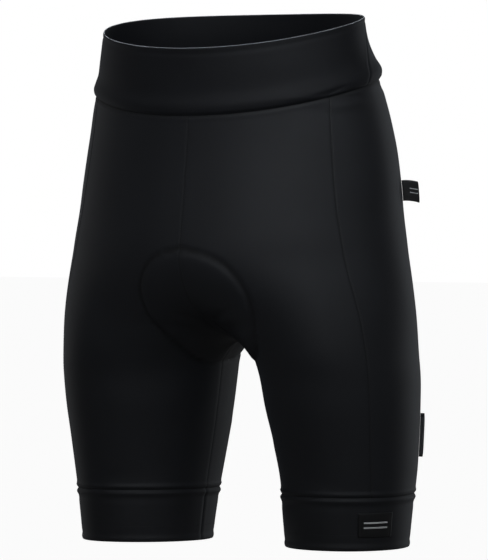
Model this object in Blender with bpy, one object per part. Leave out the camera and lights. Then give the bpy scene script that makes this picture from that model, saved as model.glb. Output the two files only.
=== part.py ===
# Worn high-waist cycling shorts: a hollow knitted skin in panels, with the seat pad sewn inside.
# Metres, +Z up, front towards -Y, the wearer's left towards +X. The origin is the middle of the
# waist opening, where the waistband grips.
#
# The skin is one smooth closed-form surface. A torso tube and two leg tubes are blended over the
# height of the crotch, and each panel is a patch of that surface between its seams:
#   u runs from the centre front (0) round the outside of one side to the centre back (1)
#   v runs down the garment from row to row: 0 rim, 1 waist seam, 2 hip line, 3 crotch,
#   4 cuff seam, 5 hem. Below the crotch u = 0 and u = 1 are both the inseam.
import functools
import math

import bpy
import numpy as np

MM = 0.001

# Driving dimensions, in metres
SEAM_GAP = 0.3 * MM
CLOTH_WALL = 1.5 * MM
BAND_WALL = 2.4 * MM
CUFF_WALL = 2.0 * MM
BAND_PROUD = 0.6 * MM
BAND_ROLL = 1.4 * MM
CUFF_PROUD = 0.4 * MM
BLEND_TOP = -213 * MM
BLEND_END = -326 * MM
CROTCH_ROUND = 9 * MM
TORSO_FIELD = 75 * MM
SEAT_TOP = -90 * MM
SEAT_FALL = 100 * MM
SEAT_VALLEY = 4 * MM
SEAT_VALLEY_WIDTH = 30 * MM
INSEAM_FALL = 34 * MM
PAD_CLEAR = 1.4 * MM
PAD_ARCH_CLEAR = 1.3 * MM
PAD_ARCH_SPAN = 34 * MM
PAD_EDGE = 2.0 * MM
PAD_THICK = 8.0 * MM
HIP_TAB_REACH = 16 * MM
HIP_TAB_WALL = 1.4 * MM
LEG_TAB_REACH = 4.5 * MM
LEG_TAB_WALL = 1.2 * MM
PATCH_WALL = 0.9 * MM

# Torso sections, mm: height, middle of the oval, half width, depth of its front and of its back
TORSO_COLUMNS = ("z", "middle_y", "half_width", "front", "back")
TORSO_SECTIONS = (
    (30, -14, 131, 84, 86),
    (-14, -12, 135, 85, 90),
    (-65, -5, 145.5, 91, 103),
    (-118, 0, 157.5, 99, 114),
    (-148, 0, 161.5, 103, 118),
    (-179, 0, 164.5, 108, 119),
    (-209, 0, 169, 112, 118),
    (-239, 1, 173.5, 114, 113),
    (-270, 3, 177, 114, 104),
    (-330, 8, 178, 110, 92),
)

# Leg sections, mm: height, middle of the tube, half width, half depth, turn of the oval in degrees
LEG_COLUMNS = ("z", "middle_x", "middle_y", "half_width", "half_depth", "turn")
LEG_SECTIONS = (
    (-190, 92, 1, 83, 108, 4),
    (-239, 94, 2, 82, 103, 6),
    (-270, 97.5, 4, 80, 98, 9),
    (-315, 102, 7, 76.3, 91.5, 14),
    (-331, 104, 9, 75.2, 89, 18),
    (-361, 106, 11, 72.6, 85.5, 19.5),
    (-391, 107.8, 13.5, 68.8, 81, 20),
    (-429, 109.8, 15, 63.8, 75, 19),
    (-455, 109.8, 13.5, 60.8, 70.5, 18),
    (-483, 110, 12.5, 58.3, 66.5, 18),
    (-510, 110, 12, 56.5, 64, 18),
)

# Rows of the cut, mm: height of each row at the centre front, at the side and at the centre back
ROW_COLUMNS = ("front", "side", "back")
ROWS = (
    (-25, 0, 11),
    (-88, -58, -48),
    (-213, -205, -215),
    (-291, -298, -291),
    (-443, -443, -443),
    (-493, -493, -493),
)
RIM, WAIST_SEAM, HIP_LINE, CROTCH, CUFF_SEAM, HEM = range(6)

# Side panel seams, mm: how far back each seam lies (front is negative) at some heights
SIDE_SEAM_COLUMNS = ("z", "front_seam", "rear_seam")
SIDE_SEAMS = (
    (-50, -49, 30),
    (-100, -54, 38),
    (-158, -58, 44),
    (-238, -58, 47),
    (-290, -53, 49),
    (-359, -46, 52),
    (-443, -34, 50),
    (-500, -30, 48),
)

# Seat pad, mm along the rise from the crotch (front is negative): half width of the pad there
PAD_COLUMNS = ("along", "half_width")
PAD_OUTLINE = (
    (-152, 0),
    (-146, 22),
    (-132, 44),
    (-110, 58),
    (-86, 63),
    (-62, 62),
    (-38, 54),
    (-10, 45),
    (20, 43),
    (56, 56),
    (92, 68),
    (126, 64),
    (150, 46),
    (163, 26),
    (168, 0),
)


@functools.lru_cache(maxsize=None)
def column(rows, names, name, scale=1.0):
    """One named column of a table, as an array."""
    return np.array([row[names.index(name)] for row in rows], dtype=float) * scale


@functools.lru_cache(maxsize=None)
def curve_by_height(rows, names, name, scale):
    """Knots, values and slopes of one column over the height, lowest first."""
    knots = column(rows, names, "z", MM)[::-1]
    values = column(rows, names, name, scale)[::-1]
    return knots, values, np.gradient(values, knots)


def smooth(at, curve):
    """Reads a smooth curve through its knots, level past its ends."""
    knots, values, slopes = curve
    at = np.asarray(at, dtype=float)
    cell = np.clip(np.searchsorted(knots, at) - 1, 0, len(knots) - 2)
    width = knots[cell + 1] - knots[cell]
    t = np.clip((at - knots[cell]) / width, 0, 1)
    rise = values[cell + 1] - values[cell]
    start = slopes[cell] * width
    end = slopes[cell + 1] * width
    return values[cell] + t * (start + t * (3 * rise - 2 * start - end + t * (start + end - 2 * rise)))


def torso(name, z):
    return smooth(z, curve_by_height(TORSO_SECTIONS, TORSO_COLUMNS, name, MM))


def leg(name, z):
    scale = math.pi / 180 if name == "turn" else MM
    return smooth(z, curve_by_height(LEG_SECTIONS, LEG_COLUMNS, name, scale))


def side_seam(name, z):
    return smooth(z, curve_by_height(SIDE_SEAMS, SIDE_SEAM_COLUMNS, name, MM))


def oval_distance(x, y, half_x, half_y):
    """Distance outside an upright oval, negative inside it."""
    reach = np.sqrt((x / half_x) ** 2 + (y / half_y) ** 2) + 1e-9
    slope = np.sqrt((x / half_x ** 2) ** 2 + (y / half_y ** 2) ** 2) + 1e-9
    return reach * (reach - 1) / slope


def torso_distance(x, y, z):
    y = y - torso("middle_y", z)
    depth = np.where(y < 0, torso("front", z), torso("back", z))
    seat = np.clip((SEAT_TOP - z) / SEAT_FALL, 0, 1)
    valley = SEAT_VALLEY * seat * np.exp(-(x / SEAT_VALLEY_WIDTH) ** 2) * np.clip(y / depth, 0, 1)
    # Squared, so that the field is smooth at the middle of the body, where the crotch forms
    return TORSO_FIELD * ((x / torso("half_width", z)) ** 2 + (y / depth) ** 2 - 1) + valley


def leg_distance(x, y, z):
    turn = leg("turn", z)
    across = np.hypot(x, CROTCH_ROUND) - leg("middle_x", z)
    along = y - leg("middle_y", z)
    turned_x = across * np.cos(turn) + along * np.sin(turn)
    turned_y = along * np.cos(turn) - across * np.sin(turn)
    return oval_distance(turned_x, turned_y, leg("half_width", z), leg("half_depth", z))


def body_distance(points):
    """Distance outside the skin: torso above the blend, two legs under it."""
    x, y, z = points[..., 0], points[..., 1], points[..., 2]
    share = np.clip((BLEND_TOP - z) / (BLEND_TOP - BLEND_END), 0, 1)
    share = share * share * (3 - 2 * share)
    return (1 - share) * torso_distance(x, y, z) + share * leg_distance(x, y, z)


def body_slope(points):
    """Gradient of the distance, by central differences."""
    step = 0.4 * MM
    slope = np.zeros_like(points)
    for axis in range(3):
        shift = np.zeros(3)
        shift[axis] = step
        slope[..., axis] = (body_distance(points + shift) - body_distance(points - shift)) / (2 * step)
    return slope


def onto_skin(points):
    """Moves points along the slope until they lie on the skin; gives the outward normals too."""
    for _ in range(9):
        slope = body_slope(points)
        size = np.maximum(np.sum(slope * slope, axis=-1, keepdims=True), 1e-6)
        move = body_distance(points)[..., None] * slope / size
        length = np.linalg.norm(move, axis=-1, keepdims=True)
        points = points - move * np.minimum(1, 12 * MM / np.maximum(length, 1e-9))
    slope = body_slope(points)
    return points, slope / np.linalg.norm(slope, axis=-1, keepdims=True)


def row_heights(u, v):
    """Height of a place on a row, from the row's front, side and back."""
    knots = np.arange(len(ROWS), dtype=float)
    front = np.interp(v, knots, column(ROWS, ROW_COLUMNS, "front", MM))
    side = np.interp(v, knots, column(ROWS, ROW_COLUMNS, "side", MM))
    back = np.interp(v, knots, column(ROWS, ROW_COLUMNS, "back", MM))
    # Between the hip line and the crotch the ends of a row follow the round of the rise
    turn = np.sin(np.clip(v - HIP_LINE, 0, 1) * math.pi / 2)
    rounded = (v > HIP_LINE) & (v < CROTCH)
    rise_front = MM * (ROWS[HIP_LINE][0] + (ROWS[CROTCH][0] - ROWS[HIP_LINE][0]) * turn)
    rise_back = MM * (ROWS[HIP_LINE][2] + (ROWS[CROTCH][2] - ROWS[HIP_LINE][2]) * turn)
    front = np.where(rounded, rise_front, front)
    back = np.where(rounded, rise_back, back)
    place = -np.cos(math.pi * u)
    return side + (back - front) / 2 * place + ((front + back) / 2 - side) * place ** 2


def skin(u, v):
    """Points and outward normals of the wearer's left half at u, v."""
    u, v = np.broadcast_arrays(np.asarray(u, dtype=float), np.asarray(v, dtype=float))
    z = row_heights(u, v)
    half_turn = math.pi * (u - 0.5)
    depth = np.where(half_turn < 0, torso("front", z), torso("back", z))
    torso_x = torso("half_width", z) * np.cos(half_turn)
    torso_y = torso("middle_y", z) + depth * np.sin(half_turn)
    whole_turn = 2 * half_turn
    # The inner side of a leg starts at the middle plane and leaves it under the crotch
    fall = np.clip((MM * ROWS[CROTCH][1] - z) / INSEAM_FALL, 0, 1)
    inner = (leg("middle_x", z) - leg("half_width", z)) * np.sqrt(1 - (1 - fall) ** 2)
    inner = np.where(v > CROTCH, inner, 0)
    reach = np.where(np.cos(whole_turn) > 0, leg("half_width", z), leg("middle_x", z) - inner)
    leg_x = leg("middle_x", z) + reach * np.cos(whole_turn)
    leg_y = leg("middle_y", z) + leg("half_depth", z) * np.sin(whole_turn)
    share = 1 - np.cos(np.clip(v - HIP_LINE, 0, 1) * math.pi / 2)
    guess = np.stack((torso_x + (leg_x - torso_x) * share, torso_y + (leg_y - torso_y) * share, z), axis=-1)
    points, normals = onto_skin(guess)
    middle = (v <= CROTCH) & ((u < 1e-6) | (u > 1 - 1e-6))
    points[..., 0] = np.where(middle, 0, points[..., 0])
    normals[..., 0] = np.where(middle, 0, normals[..., 0])
    return points, normals


def seam_u(name, v):
    """u where a side seam crosses each row: the outer part of the row is read until y is the seam's."""
    trial = np.linspace(0.25, 0.72, 48)
    points = skin(trial[None, :], np.atleast_1d(v)[:, None])[0]
    behind = points[..., 1] - side_seam(name, points[..., 2])
    return np.array([np.interp(0, row, trial) for row in behind])


def unit(vectors):
    return vectors / np.maximum(np.linalg.norm(vectors, axis=-1, keepdims=True), 1e-12)


def border_shift(border, normals, inward):
    """Half a seam gap across a border, mitred where the border turns."""
    steps = unit(np.diff(border, axis=0))
    across = unit(np.cross(steps, (normals[1:] + normals[:-1]) / 2)) * inward
    before = np.vstack((across[:1], across))
    after = np.vstack((across, across[-1:]))
    facing = np.sum(before * after, axis=-1, keepdims=True)
    return (before + after) / (1 + np.clip(facing, 0, 1)) * SEAM_GAP / 2


def trim_seams(points, normals, trims):
    """Draws the named borders of a grid in by half a gap."""
    cut = points.copy()
    if "first_column" in trims:
        cut[:, 0] += border_shift(points[:, 0], normals[:, 0], -1)
    if "last_column" in trims:
        cut[:, -1] += border_shift(points[:, -1], normals[:, -1], 1)
    if "first_row" in trims:
        cut[0] += border_shift(points[0], normals[0], 1)
    if "last_row" in trims:
        cut[-1] += border_shift(points[-1], normals[-1], -1)
    return cut


def shell_object(name, outer, inner, paint, mirror=False):
    """A closed wall between two grids of points."""
    rows, columns = outer.shape[:2]
    if mirror:
        outer = outer * (-1, 1, 1)
        inner = inner * (-1, 1, 1)
    vertices = np.concatenate((outer.reshape(-1, 3), inner.reshape(-1, 3)))
    count = rows * columns
    faces = []
    for r in range(rows - 1):
        for c in range(columns - 1):
            a = r * columns + c
            faces.append((a, a + columns, a + columns + 1, a + 1))
            faces.append((a + count, a + 1 + count, a + columns + 1 + count, a + columns + count))
    ring = [c for c in range(columns)]
    ring += [r * columns + columns - 1 for r in range(1, rows)]
    ring += [(rows - 1) * columns + c for c in range(columns - 2, -1, -1)]
    ring += [r * columns for r in range(rows - 2, 0, -1)]
    for here, there in zip(ring, ring[1:] + ring[:1]):
        faces.append((here, there, there + count, here + count))
    if mirror:
        faces = [face[::-1] for face in faces]
    mesh = bpy.data.meshes.new(name)
    mesh.from_pydata([tuple(point) for point in vertices], [], faces)
    mesh.validate()
    mesh.shade_smooth()
    mesh.set_sharp_from_angle(angle=math.radians(50))
    piece = bpy.data.objects.new(name, mesh)
    mesh.materials.append(paint)
    garment.objects.link(piece)
    return piece


def grid(u_first, u_last, v_first, v_last, columns, rows):
    """A grid of u, v between two seams, whose u may change from row to row."""
    v = np.linspace(v_first, v_last, rows + 1)
    across = np.linspace(0, 1, columns + 1)
    start = u_first(v)[:, None]
    end = u_last(v)[:, None]
    return start + (end - start) * across[None, :], np.broadcast_to(v[:, None], (rows + 1, columns + 1))


def at_front(v):
    return np.zeros_like(v)


def at_back(v):
    return np.ones_like(v)


def at_front_seam(v):
    return seam_u("front_seam", v)


def at_rear_seam(v):
    return seam_u("rear_seam", v)


def band_side(v):
    return 0.60 - 0.13 * v


def material(name, colour, roughness, sheen=0.0):
    paint = bpy.data.materials.new(name)
    paint.use_nodes = True
    shader = paint.node_tree.nodes["Principled BSDF"]
    shader.inputs["Base Color"].default_value = (*colour, 1)
    shader.inputs["Roughness"].default_value = roughness
    shader.inputs["Metallic"].default_value = 0.0
    shader.inputs["Sheen Weight"].default_value = sheen
    paint.diffuse_color = (*colour, 1)
    return paint


def panel_rows():
    """Rows of a panel, closer where the skin turns under the crotch."""
    return np.concatenate((np.linspace(WAIST_SEAM, HIP_LINE, 9)[:-1], np.linspace(HIP_LINE, CROTCH, 11)[:-1],
                           np.linspace(CROTCH, CROTCH + 0.24, 6)[:-1], np.linspace(CROTCH + 0.24, CUFF_SEAM, 8)))


def make_panels(paint):
    spans = (
        ("front", at_front, at_front_seam, 10),
        ("side", at_front_seam, at_rear_seam, 8),
        ("back", at_rear_seam, at_back, 11),
    )
    v = panel_rows()
    for name, first, last, columns in spans:
        across = np.linspace(0, 1, columns + 1)
        u = first(v)[:, None] + (last(v) - first(v))[:, None] * across
        points, normals = skin(u, np.broadcast_to(v[:, None], u.shape))
        outer = trim_seams(points, normals, ("first_column", "last_column", "first_row", "last_row"))
        inner = outer - normals * CLOTH_WALL
        shell_object(name + "_left", outer, inner, paint)
        shell_object(name + "_right", outer, inner, paint, mirror=True)


def make_waistband(paint):
    """Front and back halves, each across both sides of the body."""
    for name, first, last, columns in (("front", at_front, band_side, 10), ("back", band_side, at_back, 8)):
        u, v = grid(first, last, RIM, WAIST_SEAM, columns, 5)
        points, normals = skin(u, v)
        roll = np.exp(-((v - 0.9) / 0.12) ** 2)[..., None]
        outer = points + normals * (BAND_PROUD + BAND_ROLL * roll)
        inner = outer - normals * BAND_WALL
        trims = ("last_row", "last_column") if name == "front" else ("last_row", "first_column")
        outer = trim_seams(outer, normals, trims)
        inner = trim_seams(inner, normals, trims)
        mirrored = (-1, 1, 1)
        if name == "front":
            outer = np.concatenate((outer[:, :0:-1] * mirrored, outer), axis=1)
            inner = np.concatenate((inner[:, :0:-1] * mirrored, inner), axis=1)
        else:
            outer = np.concatenate((outer, outer[:, -2::-1] * mirrored), axis=1)
            inner = np.concatenate((inner, inner[:, -2::-1] * mirrored), axis=1)
        shell_object("waistband_" + name, outer, inner, paint)


def cuff_walls(rows, columns):
    """Outer and inner points of the left cuff and its normals, all round the leg."""
    u = np.linspace(0, 1, columns + 1)[None, :]
    v = np.linspace(CUFF_SEAM, HEM, rows + 1)[:, None]
    points, normals = skin(*np.broadcast_arrays(u, v))
    outer = points + normals * CUFF_PROUD
    return outer, outer - normals * CUFF_WALL, normals


def make_cuffs(paint):
    """Each cuff is a band closed by one seam at the inseam."""
    outer, inner, normals = cuff_walls(4, 30)
    trims = ("first_row", "first_column", "last_column")
    outer = trim_seams(outer, normals, trims)
    inner = trim_seams(inner, normals, trims)
    shell_object("cuff_left", outer, inner, paint)
    shell_object("cuff_right", outer, inner, paint, mirror=True)


def rise_curve():
    """The middle line under the crotch from front to back, with its length from the crotch."""
    v = np.linspace(HIP_LINE - 0.5, CROTCH, 80)
    front = skin(np.zeros_like(v), v)[0]
    back = skin(np.ones_like(v), v)[0]
    line = np.concatenate((front, back[-2::-1]))
    length = np.concatenate(([0], np.cumsum(np.linalg.norm(np.diff(line, axis=0), axis=1))))
    return line, length - length[len(front) - 1]


def make_pad(paint):
    """The seat pad inside the panels, thick in the middle and thin where it is sewn on."""
    line, length = rise_curve()
    along = column(PAD_OUTLINE, PAD_COLUMNS, "along", MM)
    widths = column(PAD_OUTLINE, PAD_COLUMNS, "half_width", MM)
    rows = 30
    columns = 14
    turn = np.linspace(0, math.pi, rows + 1)
    place = (along[0] + along[-1]) / 2 - (along[-1] - along[0]) / 2 * 0.985 * np.cos(turn)
    half = np.maximum(np.interp(place, along, widths), 4 * MM)
    across = np.linspace(-1, 1, columns + 1)
    x = half[:, None] * across[None, :]
    middle = np.stack([np.interp(place, length, line[:, axis]) for axis in range(3)], axis=-1)
    guess = np.repeat(middle[:, None, :], columns + 1, axis=1)
    # Away from the middle the pad follows the arch between the legs
    guess[..., 0] = x
    points, normals = onto_skin(guess)
    edge = np.minimum(1 - np.abs(across)[None, :] ** 2.5, 1 - np.abs(np.cos(turn))[:, None] ** 6)
    thick = PAD_EDGE + (PAD_THICK - PAD_EDGE) * np.sqrt(np.clip(edge, 0, 1))
    # Facets cut the corner most on the arch, so the pad keeps further off the cloth there
    clear = PAD_CLEAR + PAD_ARCH_CLEAR * np.exp(-(place / PAD_ARCH_SPAN) ** 2)
    outer = points - normals * (CLOTH_WALL + clear[:, None, None])
    inner = outer - normals * thick[..., None]
    shell_object("pad", outer, inner, paint)


def make_tab(name, paint, v_span, reach, wall, rows):
    """A small cloth tab sewn into the rear side seam, standing out from the skin."""
    v = np.linspace(*v_span, rows + 1)
    points, normals = skin(seam_u("rear_seam", v), v)
    down = unit(np.gradient(points, axis=0))
    along = unit(np.cross(down, normals))
    out = np.linspace(SEAM_GAP, reach, 4)
    sheet = points[:, None, :] + normals[:, None, :] * out[None, :, None]
    outer = sheet + along[:, None, :] * wall / 2
    inner = sheet - along[:, None, :] * wall / 2
    shell_object(name, outer, inner, paint)


def make_patch(paint):
    """A flat patch sewn on the left cuff, made from the cuff's own points moved out."""
    u = np.linspace(0.362, 0.448, 5)[None, :]
    v = np.linspace(4.28, 4.74, 4)[:, None]
    points, normals = skin(*np.broadcast_arrays(u, v))
    inner = points + normals * (CUFF_PROUD + SEAM_GAP)
    shell_object("cuff_patch", inner + normals * PATCH_WALL, inner, paint)


for old in list(bpy.data.objects):
    bpy.data.objects.remove(old, do_unlink=True)

garment = bpy.data.collections.new("cycling_shorts")
bpy.context.scene.collection.children.link(garment)

knit = material("black_knit", (0.012, 0.014, 0.020), 0.72, 0.4)
band_knit = material("band_knit", (0.014, 0.016, 0.022), 0.68, 0.4)
cuff_knit = material("cuff_knit", (0.013, 0.015, 0.021), 0.66, 0.35)
pad_foam = material("pad_fleece", (0.030, 0.032, 0.038), 0.9, 0.6)
label = material("woven_label", (0.008, 0.008, 0.009), 0.5)
reflective = material("reflective_tape", (0.11, 0.115, 0.125), 0.35)

make_waistband(band_knit)
make_panels(knit)
make_cuffs(cuff_knit)
make_pad(pad_foam)
make_tab("hip_tab", label, (1.622, 1.748), HIP_TAB_REACH, HIP_TAB_WALL, 3)
make_tab("leg_tab", reflective, (3.482, 3.765), LEG_TAB_REACH, LEG_TAB_WALL, 6)
make_patch(label)
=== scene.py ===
import functools
import math

import bpy
import numpy as np
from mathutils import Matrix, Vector


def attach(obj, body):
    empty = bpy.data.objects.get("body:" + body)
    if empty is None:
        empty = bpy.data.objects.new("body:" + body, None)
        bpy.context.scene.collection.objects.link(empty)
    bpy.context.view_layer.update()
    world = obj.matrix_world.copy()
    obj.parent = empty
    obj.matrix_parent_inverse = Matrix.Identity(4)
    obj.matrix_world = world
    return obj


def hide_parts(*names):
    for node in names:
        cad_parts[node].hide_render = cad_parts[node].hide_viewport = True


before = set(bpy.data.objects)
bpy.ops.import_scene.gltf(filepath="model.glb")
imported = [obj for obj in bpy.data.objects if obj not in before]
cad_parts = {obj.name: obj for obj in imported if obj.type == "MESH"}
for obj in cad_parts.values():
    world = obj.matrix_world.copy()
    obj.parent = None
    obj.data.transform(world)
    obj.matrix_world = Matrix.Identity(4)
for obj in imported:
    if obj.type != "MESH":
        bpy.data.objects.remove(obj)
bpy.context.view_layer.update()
print("frame loaded:", len(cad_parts), "solids")

mm = 0.001

# The skin of the shorts, the same surface as the solids have. Tables are in mm, a row for each section
# u runs from centre front (0) round the side to centre back (1)
# v runs down: 0 rim, 1 waist seam, 2 hip line, 3 crotch, 4 cuff seam, 5 hem
skinShape = {
    "torsoColumns": ("z", "middleY", "halfWidth", "front", "back"),
    "torso": ((30, -14, 131, 84, 86), (-14, -12, 135, 85, 90), (-65, -5, 145.5, 91, 103),
              (-118, 0, 157.5, 99, 114), (-148, 0, 161.5, 103, 118), (-179, 0, 164.5, 108, 119),
              (-209, 0, 169, 112, 118), (-239, 1, 173.5, 114, 113), (-270, 3, 177, 114, 104),
              (-330, 8, 178, 110, 92)),
    "legColumns": ("z", "middleX", "middleY", "halfWidth", "halfDepth", "turn"),
    "leg": ((-190, 92, 1, 83, 108, 4), (-239, 94, 2, 82, 103, 6), (-270, 97.5, 4, 80, 98, 9),
            (-315, 102, 7, 76.3, 91.5, 14), (-331, 104, 9, 75.2, 89, 18), (-361, 106, 11, 72.6, 85.5, 19.5),
            (-391, 107.8, 13.5, 68.8, 81, 20), (-429, 109.8, 15, 63.8, 75, 19),
            (-455, 109.8, 13.5, 60.8, 70.5, 18), (-483, 110, 12.5, 58.3, 66.5, 18),
            (-510, 110, 12, 56.5, 64, 18)),
    "rowFront": (-25, -88, -213, -291, -443, -493),
    "rowSide": (0, -58, -205, -298, -443, -493),
    "rowBack": (11, -48, -215, -291, -443, -493),
    "seamColumns": ("z", "frontSeam", "rearSeam"),
    "seams": ((-50, -49, 30), (-100, -54, 38), (-158, -58, 44), (-238, -58, 47), (-290, -53, 49),
              (-359, -46, 52), (-443, -34, 50), (-500, -30, 48)),
    "blendTop": -0.213,
    "blendEnd": -0.326,
    "crotchRound": 0.009,
    "torsoField": 0.075,
    "seatTop": -0.090,
    "seatFall": 0.100,
    "seatValley": 0.004,
    "seatValleyWidth": 0.030,
    "inseamFall": 0.034,
}


@functools.lru_cache(maxsize=None)
def knotCurve(table, columns, name):
    rows = np.array(skinShape[table], dtype=float)[::-1]
    names = skinShape[columns]
    knots = rows[:, 0] * mm
    values = rows[:, names.index(name)] * (math.pi / 180 if name == "turn" else mm)
    return knots, values, np.gradient(values, knots)


def readCurve(z, table, columns, name):
    knots, values, slopes = knotCurve(table, columns, name)
    cell = np.clip(np.searchsorted(knots, z) - 1, 0, len(knots) - 2)
    width = knots[cell + 1] - knots[cell]
    t = np.clip((z - knots[cell]) / width, 0, 1)
    rise = values[cell + 1] - values[cell]
    start = slopes[cell] * width
    end = slopes[cell + 1] * width
    return values[cell] + t * (start + t * (3 * rise - 2 * start - end + t * (start + end - 2 * rise)))


def torso(name, z):
    return readCurve(z, "torso", "torsoColumns", name)


def leg(name, z):
    return readCurve(z, "leg", "legColumns", name)


def bodyDistance(points):  # below zero inside the skin
    x, y, z = points[..., 0], points[..., 1], points[..., 2]
    torsoY = y - torso("middleY", z)
    depth = np.where(torsoY < 0, torso("front", z), torso("back", z))
    seat = np.clip((skinShape["seatTop"] - z) / skinShape["seatFall"], 0, 1)
    valley = skinShape["seatValley"] * seat * np.exp(-(x / skinShape["seatValleyWidth"]) ** 2)
    valley = valley * np.clip(torsoY / depth, 0, 1)
    oval = (x / torso("halfWidth", z)) ** 2 + (torsoY / depth) ** 2 - 1
    torsoPart = skinShape["torsoField"] * oval + valley
    turn = leg("turn", z)
    across = np.hypot(x, skinShape["crotchRound"]) - leg("middleX", z)
    along = y - leg("middleY", z)
    halfX, halfY = leg("halfWidth", z), leg("halfDepth", z)
    legX = across * np.cos(turn) + along * np.sin(turn)
    legY = along * np.cos(turn) - across * np.sin(turn)
    reach = np.sqrt((legX / halfX) ** 2 + (legY / halfY) ** 2) + 1e-9
    slope = np.sqrt((legX / halfX ** 2) ** 2 + (legY / halfY ** 2) ** 2) + 1e-9
    share = np.clip((skinShape["blendTop"] - z) / (skinShape["blendTop"] - skinShape["blendEnd"]), 0, 1)
    share = share * share * (3 - 2 * share)
    return (1 - share) * torsoPart + share * reach * (reach - 1) / slope


def bodySlope(points):
    step = 0.4 * mm
    slope = np.zeros_like(points)
    for axis in range(3):
        shift = np.zeros(3)
        shift[axis] = step
        slope[..., axis] = (bodyDistance(points + shift) - bodyDistance(points - shift)) / (2 * step)
    return slope


def ontoSkin(points):  # moved along the slope until they lie on the skin
    for _ in range(9):
        slope = bodySlope(points)
        size = np.maximum(np.sum(slope * slope, axis=-1, keepdims=True), 1e-6)
        move = bodyDistance(points)[..., None] * slope / size
        length = np.linalg.norm(move, axis=-1, keepdims=True)
        points = points - move * np.minimum(1, 12 * mm / np.maximum(length, 1e-9))
    slope = bodySlope(points)
    return points, slope / np.linalg.norm(slope, axis=-1, keepdims=True)


def rowHeight(u, v):
    knots = np.arange(6)
    front = np.interp(v, knots, skinShape["rowFront"]) * mm
    side = np.interp(v, knots, skinShape["rowSide"]) * mm
    back = np.interp(v, knots, skinShape["rowBack"]) * mm
    turn = np.sin(np.clip(v - 2, 0, 1) * math.pi / 2)  # the ends follow the round of the rise
    rounded = (v > 2) & (v < 3)
    ends = []
    for row, level in (("rowFront", front), ("rowBack", back)):
        hip, crotch = skinShape[row][2], skinShape[row][3]
        ends.append(np.where(rounded, (hip + (crotch - hip) * turn) * mm, level))
    front, back = ends
    place = -np.cos(math.pi * u)
    return side + (back - front) / 2 * place + ((front + back) / 2 - side) * place ** 2


def skin(u, v):  # points and outward normals on the wearer's left half
    u, v = np.broadcast_arrays(np.asarray(u, dtype=float), np.asarray(v, dtype=float))
    z = rowHeight(u, v)
    halfTurn = math.pi * (u - 0.5)
    depth = np.where(halfTurn < 0, torso("front", z), torso("back", z))
    torsoX = torso("halfWidth", z) * np.cos(halfTurn)
    torsoY = torso("middleY", z) + depth * np.sin(halfTurn)
    fall = np.clip((mm * skinShape["rowFront"][3] - z) / skinShape["inseamFall"], 0, 1)
    inner = (leg("middleX", z) - leg("halfWidth", z)) * np.sqrt(1 - (1 - fall) ** 2)
    inner = np.where(v > 3, inner, 0)
    reach = np.where(np.cos(2 * halfTurn) > 0, leg("halfWidth", z), leg("middleX", z) - inner)
    legX = leg("middleX", z) + reach * np.cos(2 * halfTurn)
    legY = leg("middleY", z) + leg("halfDepth", z) * np.sin(2 * halfTurn)
    share = 1 - np.cos(np.clip(v - 2, 0, 1) * math.pi / 2)
    guess = np.stack((torsoX + (legX - torsoX) * share, torsoY + (legY - torsoY) * share, z), axis=-1)
    points, normals = ontoSkin(guess)
    middle = (v <= 3) & ((u < 1e-6) | (u > 1 - 1e-6))
    points[..., 0] = np.where(middle, 0, points[..., 0])
    normals[..., 0] = np.where(middle, 0, normals[..., 0])
    return points, normals


def seamU(name, v):  # where a side seam crosses each row
    trial = np.linspace(0.25, 0.72, 48)
    points = skin(trial[None, :], np.atleast_1d(v)[:, None])[0]
    behind = points[..., 1] - readCurve(points[..., 2], "seams", "seamColumns", name)
    return np.array([np.interp(0, row, trial) for row in behind])


def unit(vectors):
    return vectors / np.maximum(np.linalg.norm(vectors, axis=-1, keepdims=True), 1e-12)


def easedSteps(count, ease=0.78):  # closer together at both ends
    t = np.linspace(0, 1, count + 1)
    return t - ease * np.sin(2 * math.pi * t) / (2 * math.pi)


def bump(distance, width):
    return np.exp(-(distance / width) ** 2)


# Distance to a line of points, how far along it (0 to 1) and which side of it
def toLine(points, normals, line):
    flat = points.reshape(-1, 3)
    best = np.full(len(flat), 1e9)
    place = np.zeros(len(flat))
    side = np.zeros(len(flat))
    flatNormals = normals.reshape(-1, 3)
    for i in range(len(line) - 1):
        start, run = line[i], line[i + 1] - line[i]
        t = np.clip((flat - start) @ run / max(run @ run, 1e-12), 0, 1)
        away = flat - (start + t[:, None] * run)
        distance = np.linalg.norm(away, axis=1)
        closer = distance < best
        best = np.where(closer, distance, best)
        place = np.where(closer, (i + t) / (len(line) - 1), place)
        turned = np.sum(np.cross(run, flatNormals) * away, axis=1)
        side = np.where(closer, np.sign(turned), side)
    shape = points.shape[:-1]
    return best.reshape(shape), place.reshape(shape), side.reshape(shape)


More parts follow.
